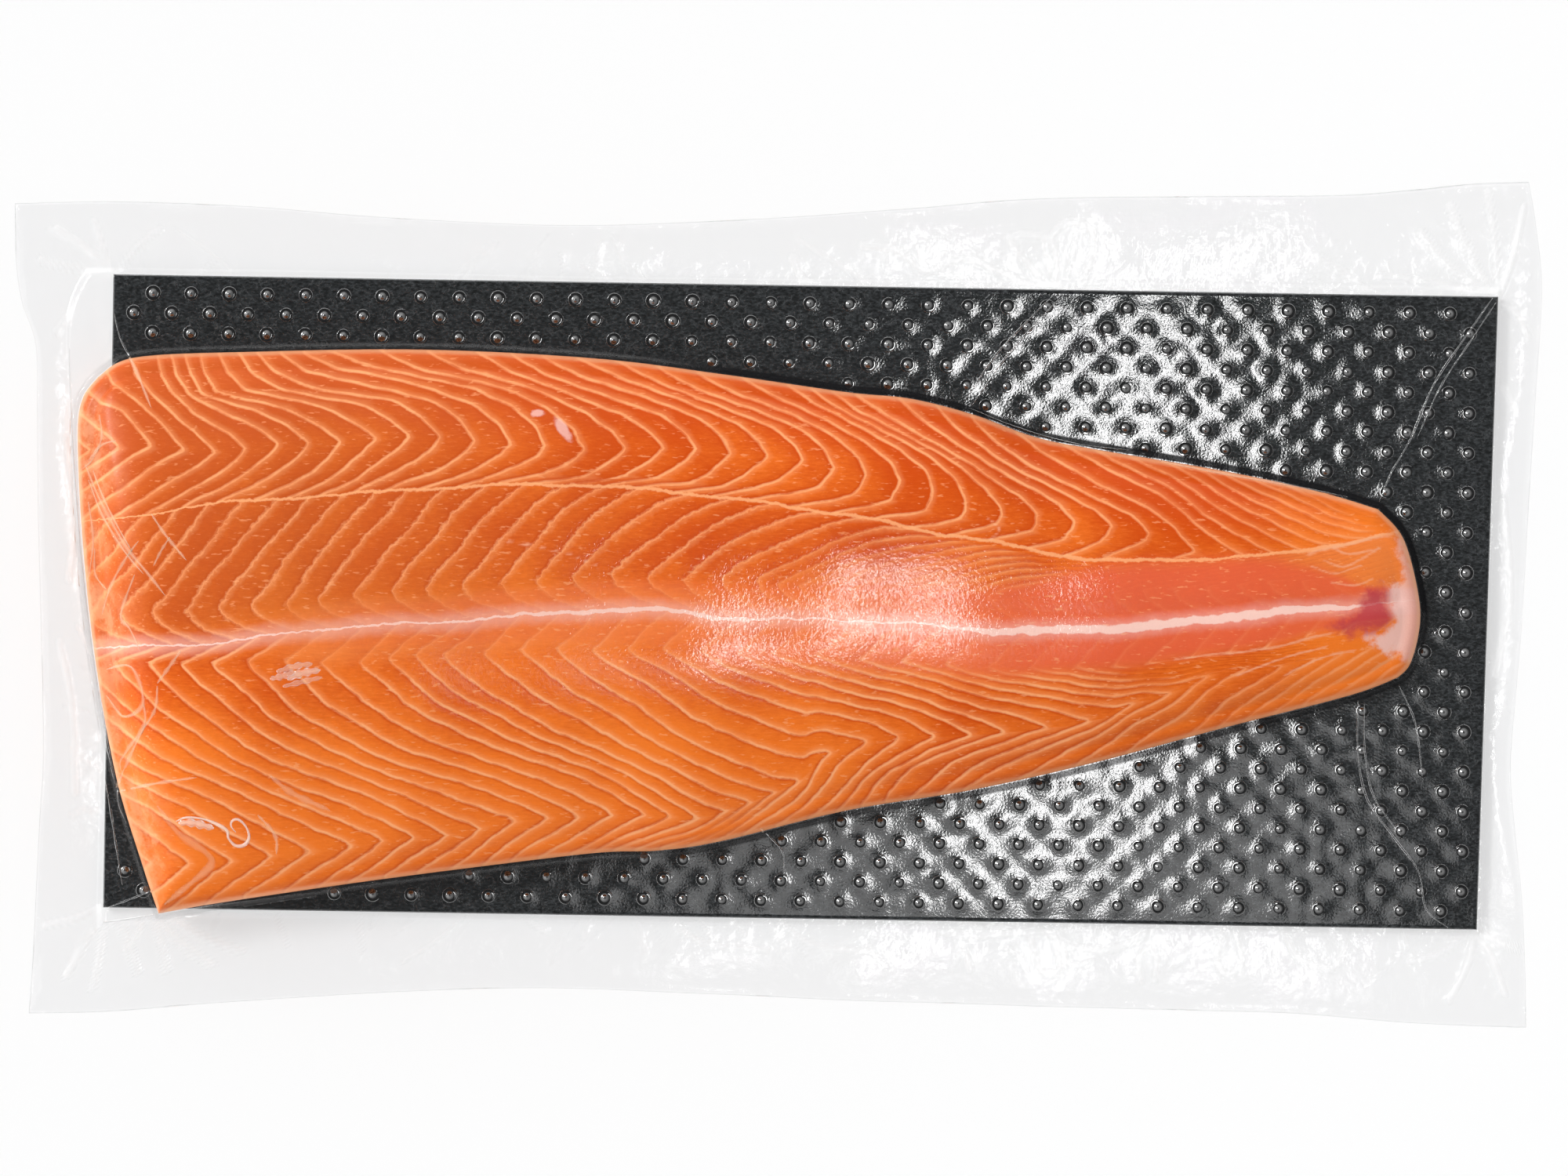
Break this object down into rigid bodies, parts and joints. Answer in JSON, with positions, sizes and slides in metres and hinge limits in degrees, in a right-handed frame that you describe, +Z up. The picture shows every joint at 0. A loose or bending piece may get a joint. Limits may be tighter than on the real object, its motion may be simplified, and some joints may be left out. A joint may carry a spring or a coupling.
{
  "type": "vacuum-packed salmon loin on a board",
  "caption": "Long tapering side of raw salmon on a studded black board, sealed in a clear vacuum pouch with a wavy flat margin.",
  "frame": {"origin": "on the underside of the pouch, under the middle of its outline", "axes": "+X along the board towards the tail end of the fish, +Y towards the back edge of the fish, +Z up"},
  "size_m": [0.4876, 0.273, 0.0335],
  "materials": {
    "clear_film": "thin clear glossy film, crisp at the seals",
    "black_board": "black, finely grained, with small raised studs",
    "salmon_flesh": "moist raw salmon, orange with pale chevron lines"
  },
  "bodies": {
    "root": {"vacuum_pouch": "clear_film", "backing_board": "black_board", "salmon_loin": "salmon_flesh"}
  },
  "joints": []
}
